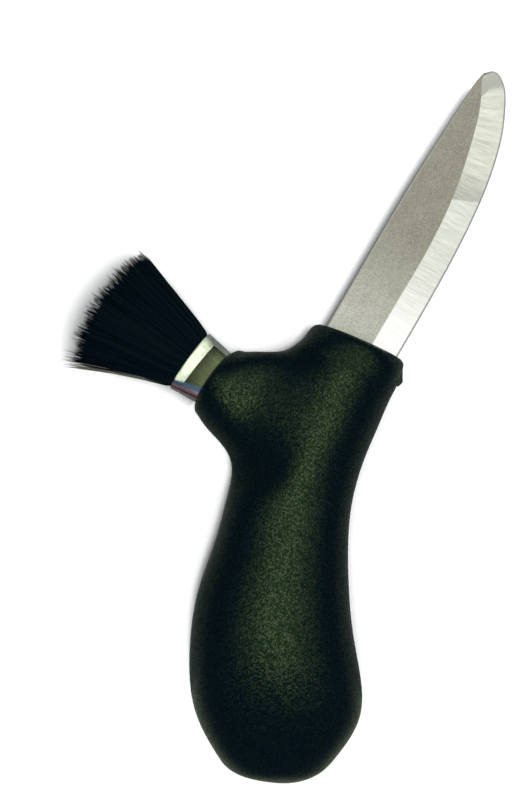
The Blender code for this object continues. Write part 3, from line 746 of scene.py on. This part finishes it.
def handle_rings():
    """The eight points of each section, from the butt to the front: middle + outward * width share +
    up * depth share."""
    shares = np.vstack((GRIP_SHARES, HEAD_SHARES))
    in_head = np.arange(len(shares)) >= len(GRIP_SHARES)
    back, sweep, width, depth, slant = shares.T
    middle = DATUM + np.stack((-sweep * HANDLE_SWEEP, -back * HANDLE_LENGTH, 0 * back), -1)
    turn = slant * FRONT_SLANT
    outward = np.stack((np.cos(turn), -np.sin(turn), 0 * turn), -1)
    half_width = width * np.where(in_head, HEAD_WIDTH, HANDLE_WIDTH) / 2
    half_depth = depth * np.where(in_head, HEAD_DEPTH, HANDLE_DEPTH) / 2
    spread = round_spread(SECTION_CORNER)
    rings = (middle[:, None] + outward[:, None] * (half_width[:, None] * spread[:, 0])[..., None]
             + UP * (half_depth[:, None] * spread[:, 1])[..., None])
    rings[-1] += FRONT * FRONT_CROWN
    return rings


def branch_ring(behind, radius):
    """Eight points round the branch, so far behind the ferrule's mouth, bowed forward above and below."""
    spread = round_spread(math.sqrt(0.5))
    middle = BRUSH_MOUTH - BRUSH_OUT * behind
    return (middle + BRUSH_SIDE * (spread[:, :1] * radius) + UP * (spread[:, 1:] * radius)
            + BRUSH_OUT * (np.abs(spread[:, 1:]) * NUB_BOW))


def branch_rings(root):
    """Three rings of the branch: one between its root and its end, one at the end's full width, and one on
    the end's rounded front."""
    full = FERRULE_RADIUS + NUB_WALL
    outer = branch_ring(FERRULE_SHOWN + NUB_ROUND, full)
    end = branch_ring(FERRULE_SHOWN + NUB_END_SHARES[0] * NUB_ROUND, full - NUB_END_SHARES[1] * NUB_WALL)
    middle = outer + (root - outer) * BRANCH_ROOT_SHARE
    middle[[2, 6], 2] = DATUM[2] + np.array((1.0, -1.0)) * full * BRANCH_TOP_SHARE
    return middle, outer, end


def settled(points, quads):
    """Moves a cage so that its smooth limit surface passes through the places where its points were drawn.

    The limit place of a point p with n neighbours is (n^2 p + 4 neighbours + diagonals) / (n (n + 5)), summed
    over all its neighbours and its faces' far corners, so the cage is the answer to one linear system."""
    count = len(points)
    pull = np.zeros((count, count))
    faces_here = np.bincount(quads.ravel(), minlength=count).astype(float)
    for corner in range(4):
        here, after, across, before = (quads[:, (corner + k) % 4] for k in range(4))
        np.add.at(pull, (here, after), 2.0)
        np.add.at(pull, (here, before), 2.0)
        np.add.at(pull, (here, across), 1.0)
    pull[np.arange(count), np.arange(count)] += faces_here ** 2
    pull /= (faces_here * (faces_here + 5))[:, None]
    return np.linalg.solve(pull, points)


def lift_crest(rings):
    """Draws the section under the branch out towards it, and sets its neighbours' corner heights."""
    crest_middle = middle_line(*BRANCH_SHARES) + BRUSH_OUT * (CREST_SHARES[0] * BRUSH_REACH)
    crest_height = UP * (CREST_SHARES[1] * HEAD_DEPTH / 2)
    rings[CREST, ABOVE] = crest_middle + crest_height
    rings[CREST, BELOW] = crest_middle - crest_height
    for ring, corner_height in ((NEAR, NECK_CORNER_SHARE * GRIP_SHARES[-1, 3] * HANDLE_DEPTH / 2),
                                (FAR, HEAD_CORNER_SHARE * HEAD_SHARES[1, 3] * HEAD_DEPTH / 2)):
        rings[ring, ABOVE, 2] = DATUM[2] + corner_height
        rings[ring, BELOW, 2] = DATUM[2] - corner_height


def quads_between(first, second, skipped=()):
    """Quads from a ring of eight points to the next, apart from the skipped places."""
    kept = np.setdiff1d(np.arange(8), skipped)
    after = (kept + 1) % 8
    return np.stack((first[kept], first[after], second[after], second[kept]), -1)


def quads_over(ring, tip):
    """Four quads that close a ring of eight points over one more point."""
    corner = np.arange(0, 8, 2)
    return np.stack((np.full(4, tip), ring[corner], ring[corner + 1], ring[(corner + 2) % 8]), -1)


def handle_cage():
    """The handle's cage: sections from butt to front, a branch grown from four faces on the spine side of the
    head, and a point at each end, with every face a quad."""
    rings = handle_rings()
    lift_crest(rings)
    points = rings.reshape(-1, 3)
    ids = np.arange(len(points)).reshape(-1, 8)
    root = ids[(FAR, FAR, CREST, NEAR, NEAR, NEAR, CREST, FAR),
               (SIDE, ABOVE, ABOVE, ABOVE, SIDE, BELOW, BELOW, BELOW)]
    tips = np.stack((middle_line(*BUTT_SHARES), middle_line(0.0, HEAD_SHARES[-1, 1]) + FRONT * FRONT_CROWN,
                     BRUSH_MOUTH - BRUSH_OUT * FERRULE_SHOWN))
    points = np.vstack((points, *branch_rings(points[root]), tips))
    chain = np.vstack((root, ids.size + np.arange(24).reshape(3, 8)))
    quads = [quads_between(ids[k], ids[k + 1], (ABOVE, SIDE) if k in (NEAR, CREST) else ())
             for k in range(len(ids) - 1)]
    quads += [quads_between(chain[k], chain[k + 1]) for k in range(3)]
    quads += [quads_over(ring, len(points) - 3 + k) for k, ring in enumerate((ids[0], ids[-1], chain[-1]))]
    quads = np.vstack(quads)
    used, compact = np.unique(quads, return_inverse=True)
    return points[used], compact.reshape(quads.shape)


def lip_form():
    """The small land behind the front corner, as rings of its outline. Its height follows the square of the
    cosine across the corner, so both ends run out into the moulding."""
    corner = handle_rings()[-2, 0]
    rings = []
    for width_share in np.linspace(-1.0, 1.0, 21):
        rise = LIP_HEIGHT - LIP_END_FALL * math.sin(math.pi / 2 * width_share) ** 2
        outline = np.array(((-LIP_ROOT, LIP_AHEAD), (rise, LIP_AHEAD), (rise, -LIP_BEHIND),
                            (rise - LIP_CHAMFER, -LIP_BEHIND - LIP_CHAMFER),
                            (-LIP_ROOT - LIP_CHAMFER, -LIP_BEHIND)))
        rings.append(corner + np.column_stack((outline, np.full(5, width_share * LIP_HALF_WIDTH))))
    return closed_tube("lip_form", np.stack(rings))


def front_block():
    """A block ahead of the handle's flat front."""
    square = np.array(((-1, -1), (1, -1), (1, 1), (-1, 1))) * HEAD_WIDTH
    face = DATUM + square[:, :1] * FRONT_SIDE + square[:, 1:] * UP
    return closed_tube("front_block", np.stack((face, face + FRONT * CUT_OVERRUN)))


def blade_seat():
    """The space of the blade's tail with a gap all round, less the pegs of the moulding in its holes."""
    tail = tail_rows(FIT_GAP)
    mouth = [places[-1:] + (0.0, SHOULDER_DEPTH + FIT_GAP + CUT_OVERRUN) for places in tail]
    spine, grind, edge = (np.vstack(both) for both in zip(tail, mouth))
    loops, _ = blade_loops(spine, grind, edge, FIT_GAP)
    seat = loop_solid("blade_seat", loops)
    carve(seat, "DIFFERENCE", pegs(TANG_HOLE_RADIUS - FIT_GAP))
    return seat


def in_brush_frame(points):
    """Turns points from (sideways, down, out of the mouth) of the brush to the model's frame."""
    return BRUSH_MOUTH + points[..., :1] * BRUSH_SIDE - points[..., 1:2] * UP + points[..., 2:] * BRUSH_OUT


def turned_rings(profile, around):
    """Rings round the brush's axis for each (radius, height) of a profile."""
    angle = round_angles(around)
    radius, height = profile[:, 0, None], profile[:, 1, None]
    return in_brush_frame(np.stack((radius * np.cos(angle), radius * np.sin(angle), height + 0 * angle), -1))


def ferrule_seat():
    """The round socket of the ferrule, with a gap at its side and its bottom."""
    radius = FERRULE_RADIUS + FIT_GAP
    bottom = -FERRULE_SHOWN - FERRULE_BURIED - FIT_GAP
    return closed_tube("ferrule_seat", turned_rings(np.array(((radius, bottom), (radius, CUT_OVERRUN))), 96))


def make_handle(finish):
    """The moulding: the cage smoothed, the lip added, the front trimmed and both seats cut."""
    points, quads = handle_cage()
    handle = make_solid("handle_moulding", settled(points, quads), (quads,))
    smooth = handle.modifiers.new("smooth", "SUBSURF")
    smooth.levels = smooth.render_levels = 4
    settle(handle)
    carve(handle, "UNION", [lip_form()])
    carve(handle, "DIFFERENCE", [front_block(), blade_seat(), ferrule_seat()])
    shade(handle, 32.0)
    dress(handle, finish, "handle_moulding", "handle")


# Brush

def bore_radius(depth):
    """The ferrule's bore at a depth below its mouth: it widens evenly over the length that shows."""
    return FERRULE_RADIUS + FERRULE_FLARE * np.clip(1 - depth / FERRULE_SHOWN, 0, None) - FERRULE_WALL


def ferrule_profile():
    """(radius, height) places along the tube's wall, from its heel over the mouth and back inside: a crimp
    whose depth follows the square of a cosine, and a rim of half a circle."""
    heel = -FERRULE_SHOWN - FERRULE_BURIED
    height = np.concatenate(((heel,), np.linspace(-FERRULE_SHOWN, -RIM_RADIUS, 48)))
    offset = np.clip((height + CRIMP_DISTANCE) / CRIMP_WIDTH, -0.5, 0.5)
    outer = bore_radius(-height) + FERRULE_WALL - CRIMP_DEPTH * np.cos(math.pi * offset) ** 2
    rim = (MOUTH_RADIUS - RIM_RADIUS, -RIM_RADIUS) + RIM_RADIUS * on_circle(np.linspace(0.0, math.pi, 15))
    neck = -CRIMP_DISTANCE / 2
    inner = np.array(((min(MOUTH_RADIUS - 2 * RIM_RADIUS, bore_radius(-neck)), neck),
                      (bore_radius(FERRULE_SHOWN), -FERRULE_SHOWN), (bore_radius(-heel), heel)))
    return np.vstack((np.stack((outer, height), -1), rim[1:], inner))


def make_ferrule(finish):
    """The tube as one turned wall, whose last ring joins its first."""
    profile = ferrule_profile()
    rings = turned_rings(profile, 128)
    rows, around = rings.shape[:2]
    first = np.arange(around)
    last = (rows - 1) * around + first
    closing = np.stack((last, np.roll(last, -1), np.roll(first, -1), first), -1)
    side = np.broadcast_to(np.cos(round_angles(around)), (rows, around))
    depth = np.broadcast_to(-MILLIMETRES * profile[:, 1:], (rows, around))
    places = np.stack((side, depth), -1).reshape(-1, 2)
    ferrule = make_solid("ferrule_tube", rings, (tube_faces(rows, around), closing), "tube", places)
    shade(ferrule, 40.0)
    dress(ferrule, finish, "ferrule_metal", "ferrule")


def even_spots(count):
    """Evenly spread places in a unit circle, on a sunflower's spiral: radius sqrt((i + 1/2) / n), turned by
    the golden angle from one to the next."""
    index = np.arange(count)
    radius = np.sqrt((index + 0.5) / count)
    return radius[:, None] * on_circle(index * math.pi * (3 - math.sqrt(5)))


def strands(paths, radii, turns):
    """Three-sided strands. paths is (strands, levels, 3) in the brush's frame, radii (strands, levels - 1),
    and turns one angle a strand. Each level but the last has a ring of three points; the last is the tip."""
    count, levels = paths.shape[:2]
    angle = turns[:, None] + np.arange(HAIR_SIDES) * math.tau / HAIR_SIDES
    out = np.stack((np.cos(angle), np.sin(angle), 0 * angle), -1)
    rings = paths[:, :-1, None] + out[:, None] * radii[:, :, None, None]
    points = np.concatenate((rings.reshape(count, -1, 3), paths[:, -1:]), 1)
    each = points.shape[1]
    start = np.arange(count)[:, None, None] * each
    first_ring = np.arange(HAIR_SIDES)
    last_ring = first_ring + (levels - 2) * HAIR_SIDES
    tip = np.stack((last_ring, np.roll(last_ring, -1), np.full(HAIR_SIDES, each - 1)), -1)
    sides = (tube_faces(levels - 1, HAIR_SIDES)[None] + start).reshape(-1, 4)
    tips = (tip[None] + start).reshape(-1, 3)
    roots = (first_ring[None, ::-1] + start).reshape(-1, HAIR_SIDES)
    return in_brush_frame(points.reshape(-1, 3)), (sides, tips, roots), each


def add_strands(name, paths, radii, turns, tones, finish, *nodes):
    """A set of strands as one piece, with each strand's tone and the share of its length as its pattern."""
    points, faces, each = strands(paths, radii, turns)
    last = paths.shape[1] - 1
    along = np.append(np.repeat(np.arange(last), HAIR_SIDES), last) / last
    places = np.stack((np.repeat(tones, each), np.tile(along, len(tones))), -1)
    hair = make_solid(name, points, faces, "strands", places)
    hair.data.shade_smooth()
    dress(hair, finish, "brush_hair", *nodes)


def fan_paths(spots, lengths, pulls, strays):
    """Paths of hairs from their roots in the resin to their tips.

    At a height z above the mouth a hair lies at its own spot of the bundle times the fan's half width there,
    which grows evenly from the rim outwards, plus its pull towards its tuft, which grows with the sixth power
    of z, and its stray, which grows with the square of z. The bundle opens from the bore to that width just
    over the mouth, and fills the bore in the resin."""
    low = np.broadcast_to(ROOT_HEIGHTS, (len(spots), len(ROOT_HEIGHTS)))
    heights = np.concatenate((low, lengths[:, None] * SHOWN_SHARES), 1)
    rim = MOUTH_RADIUS - HAIR_RADIUS
    bore = MOUTH_RADIUS - 2 * RIM_RADIUS - HAIR_RADIUS
    held = np.where(heights < -RESIN_DEPTH / 2, bore_radius(RESIN_DEPTH) - FIT_GAP, bore)
    freed = (np.clip(heights / QUICK_OPENING, 0.0, QUICK_SHARE)
             + (1 - QUICK_SHARE) * np.clip(heights / SLOW_OPENING, 0.0, 1.0))
    above = np.clip(heights, 0.0, None)
    share = above / HAIR_LENGTH
    places = []
    for axis, spread in enumerate((FAN_HALF_WIDTH, FAN_HALF_DEPTH)):
        spot, pull, stray = (values[:, axis, None] for values in (spots, pulls, strays))
        fan = rim + (spread - rim) * above / (HAIR_LENGTH - HAIR_DOME)
        half = held + (fan - held) * freed
        places.append(spot * half + pull * spread * share ** 6 + stray * share ** 2)
    places[0] -= FAN_SHIFT * share
    return np.stack((*places, heights), -1)


def make_bundle(chance, finish):
    """The bundle of hair. Each hair leans towards the middle of the nearest tuft, and it is shorter by the
    squares of its spot's two places, times the dome's heights, so the tips end raggedly on a low dome."""
    spots = even_spots(HAIR_COUNT)
    tufts = even_spots(TUFT_COUNT) + chance.normal(0.0, TUFT_SCATTER, (TUFT_COUNT, 2))
    tuft = np.argmin(((spots[:, None] - tufts[None]) ** 2).sum(-1), 1)
    pulls = (tufts[tuft] - spots) * TUFT_PULL
    tuft_strays = chance.normal(0.0, TUFT_STRAY, (TUFT_COUNT, 2))
    strays = tuft_strays[tuft] + chance.normal(0.0, HAIR_STRAY, (HAIR_COUNT, 2))
    shorter = (spots ** 2 * (HAIR_DOME, HAIR_DEPTH_DOME)).sum(-1)
    ahead = (chance.random(TUFT_COUNT) < AHEAD_CHANCE) * chance.uniform(*AHEAD_RANGE, TUFT_COUNT)
    lengths = HAIR_LENGTH - shorter + TIP_SLANT * spots[:, 0] + ahead[tuft]
    tuft_trim = TUFT_RAGGED * chance.random(TUFT_COUNT)
    lengths -= TIP_TRIM + tuft_trim[tuft] + HAIR_RAGGED * chance.random(HAIR_COUNT)
    radii = HAIR_RADIUS * chance.uniform(*HAIR_RADIUS_RANGE, (HAIR_COUNT, 1)) * HAIR_TAPER
    turns = chance.uniform(0.0, math.tau, HAIR_COUNT)
    paths = fan_paths(spots, lengths, pulls, strays)
    add_strands("brush_hair", paths, radii, turns, chance.random(HAIR_COUNT), finish, "bristles")


def make_strays(chance, finish):
    """Single hairs that bend away from the bundle's lower flank, most of the outermost ones painted
    pale as glints.
    """
    spots = STRAY_SPOT * on_circle(math.pi + chance.uniform(-STRAY_ARC, STRAY_ARC, STRAY_COUNT))
    bend = chance.uniform(*STRAY_BEND_RANGE, STRAY_COUNT)
    strays = np.stack((bend, chance.normal(0.0, STRAY_LIFT, STRAY_COUNT)), -1)
    lengths = HAIR_LENGTH - HAIR_DOME - chance.uniform(*STRAY_SHORT_RANGE, STRAY_COUNT)
    radii = HAIR_RADIUS * STRAY_THINNESS * np.ones((STRAY_COUNT, 1)) * HAIR_TAPER
    turns = chance.uniform(0.0, math.tau, STRAY_COUNT)
    outermost = (bend < PALE_BEND) & (spots[:, 0] < PALE_SPOT)
    # Painted glint: these strays get the pale tone.
    pale = (chance.random(STRAY_COUNT) < PALE_CHANCE) & outermost
    paths = fan_paths(spots, lengths, np.zeros_like(spots), strays)
    add_strands("stray_hair", paths, radii, turns, np.where(pale, PALE_TONE, DARK_TONE), finish)


def make_hair(finish):
    """The bundle and its strays, from one run of random numbers."""
    chance = np.random.default_rng(11)
    make_bundle(chance, finish)
    make_strays(chance, finish)


# Table, light and camera

def pale_table():
    """Matt white, with painted shade that makes it a little greyer close to what stands on it."""
    made = Finish("pale_table", Roughness=0.9, Specular_IOR_Level=0.1)
    # Painted shade: the table is greyer where little of the sky is open within SHADE_REACH.
    sky = made.node("ShaderNodeAmbientOcclusion", {"samples": 8}, {"Distance": SHADE_REACH}, output="AO")
    colour = made.blend(made.step(sky, 0.50, 0.78), (0.28, 0.28, 0.285), (0.90, 0.90, 0.90))
    return made.set(Base_Color=colour)


def make_table():
    """A pale table top, far wider than the view, with a thin sheet of the same white under the brush."""
    paint = pale_table()
    top_corners = np.array(((-1, -1), (1, -1), (1, 1), (-1, 1))) * TABLE_REACH
    for name, corners, height in (("table_top", top_corners, 0.0),
                                  ("brush_sheet", SHEET_CORNERS, SHEET_HEIGHT)):
        points = np.column_stack((corners, np.full(len(corners), height)))
        flat = make_object(name, make_mesh(name, points, (np.arange(len(points))[None],)))
        flat.data.materials.append(paint)
        flat.visible_glossy = False


def make_wall():
    """A pale dome far behind the table's edge, as rings of a sphere, which only the camera sees."""
    height = np.linspace(*WALL_ANGLES, 12)[:, None]
    angle = round_angles(48)
    rings = np.stack((np.cos(height) * np.cos(angle), np.cos(height) * np.sin(angle),
                      np.sin(height) + 0 * angle), -1) * TABLE_REACH
    wall = closed_tube("room_wall", rings)
    wall.data.materials.append(Finish("pale_wall", Base_Color=(0.0, 0.0, 0.0, 1.0), Specular_IOR_Level=0.0,
                                      Emission_Color=(1.0, 1.0, 1.0, 1.0), Emission_Strength=0.96).material)
    wall.visible_diffuse = wall.visible_glossy = wall.visible_transmission = wall.visible_shadow = False


def add_lamp(name, kind, power, way, in_gloss, lit, shading=()):
    """A lamp that shines one way. Pieces that are given are the only ones lit, or the only ones to shade."""
    lamp = bpy.data.lights.new(name, kind)
    lamp.energy = power
    light = bpy.data.objects.new(name, lamp)
    bpy.context.scene.collection.objects.link(light)
    light.rotation_euler = Vector(way).to_track_quat("-Z", "Y").to_euler()
    light.visible_glossy = in_gloss
    light.visible_camera = False
    for role, pieces in (("receiver_collection", lit), ("blocker_collection", shading)):
        if pieces:
            group = bpy.data.collections.new(f"{name}_{role}")
            for piece in pieces:
                group.objects.link(piece)
            setattr(light.light_linking, role, group)
    return light


def add_light(name, place, aim, size, power, colour=(1.0, 1.0, 1.0), in_gloss=True, only=()):
    """A rectangular soft light that faces a point."""
    light = add_lamp(name, "AREA", power, Vector(aim) - Vector(place), in_gloss, only)
    light.location = place
    light.data.shape = "RECTANGLE"
    light.data.size, light.data.size_y = size
    light.data.color = colour


def add_key(name, way, power, spread, lit, shading=()):
    """A far key light, as wide as its spread in degrees."""
    key = add_lamp(name, "SUN", power, way, False, lit, shading)
    key.data.angle = math.radians(spread)


def light_dark_pieces(handle, hair):
    """Three soft boxes overhead, each wider than the last, so that their shine fades out at its edges, and
    glows from the table up into the handle's flanks."""
    for name, left, right, near, far, power in OVERHEADS:
        x, y = (left + right) / 2, (near + far) / 2
        add_light(name, (x, y, OVERHEAD_HEIGHT), (x, y, 0.0), (right - left, far - near), power,
                  colour=OVERHEAD_COLOUR, only=(handle, *hair))
    for name, place, size, power, colour in TABLE_GLOWS:
        x, y, _ = place
        add_light(name, place, (x, y, 1.0), size, power, colour=colour, only=(handle,))


def light_metal(metal):
    """One wide soft box over the blade and the ferrule, and a card on each side of the ferrule."""
    add_light("metal_box", (0.10, 0.10, 0.60), (0.10, 0.10, 0.0), (1.6, 1.6), 8.4, colour=(1.0, 1.0, 0.97),
              only=metal)
    for name, way in (("metal_card_right", 1.0), ("metal_card_left", -1.0)):
        place = BRUSH_SIDE * (0.70 * way) + UP * 0.20
        add_light(name, place, (0.0, 0.0, 0.05), (1.4, 0.5), 1.6, only=metal)


def make_lights():
    """Lights for the dark pieces and for the metal, then an even wash over the table, a key from just right
    of the camera and one for the sheet under the brush, which give the table its faint shadows."""
    blade, handle, ferrule, hair, strays, table, sheet = (bpy.data.objects[name] for name in (
        "blade_ground", "handle_moulding", "ferrule_tube", "brush_hair", "stray_hair", "table_top",
        "brush_sheet"))
    light_dark_pieces(handle, (hair, strays))
    light_metal((blade, ferrule))
    add_light("table_wash", (0.0, 0.0, 2.200), (0.0, 0.0, 0.0), (5.0, 5.0), 53.0, in_gloss=False)
    add_key("key", (-0.034, 0.022, -0.700), 2.85, 8.2, (table, blade, ferrule, handle, hair, strays))
    add_key("brush_key", (-0.31, 0.12, -1.0), 3.1, 16.0, (sheet,), (hair, strays, ferrule))


def make_room():
    """A faint, slightly blue light from all around."""
    world = bpy.data.worlds.new("dim_room")
    world.use_nodes = True
    background = world.node_tree.nodes["Background"]
    background.inputs["Color"].default_value = (0.70, 0.92, 1.0, 1.0)
    background.inputs["Strength"].default_value = 0.054
    bpy.context.scene.world = world


def make_camera():
    """Straight down from a quarter of a metre over the table."""
    lens = bpy.data.cameras.new("camera")
    lens.sensor_width = SENSOR_WIDTH
    lens.lens = SENSOR_WIDTH * FOCAL_PIXELS / PICTURE_PIXELS
    camera = bpy.data.objects.new("camera", lens)
    bpy.context.scene.collection.objects.link(camera)
    camera.location = CAMERA_PLACE
    bpy.context.scene.camera = camera


def main():
    """Makes every piece, the table, the room, the lights and the camera."""
    make_blade(ground_steel())
    make_handle(grained_black_moulding())
    make_ferrule(ferrule_metal_painted_reflections())
    make_hair(black_brush_hair())
    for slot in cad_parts["resin_plug"].material_slots:
        slot.material = set_resin()
    make_table()
    make_wall()
    make_lights()
    make_room()
    make_camera()
    bpy.context.scene.view_settings.view_transform = "Standard"


main()
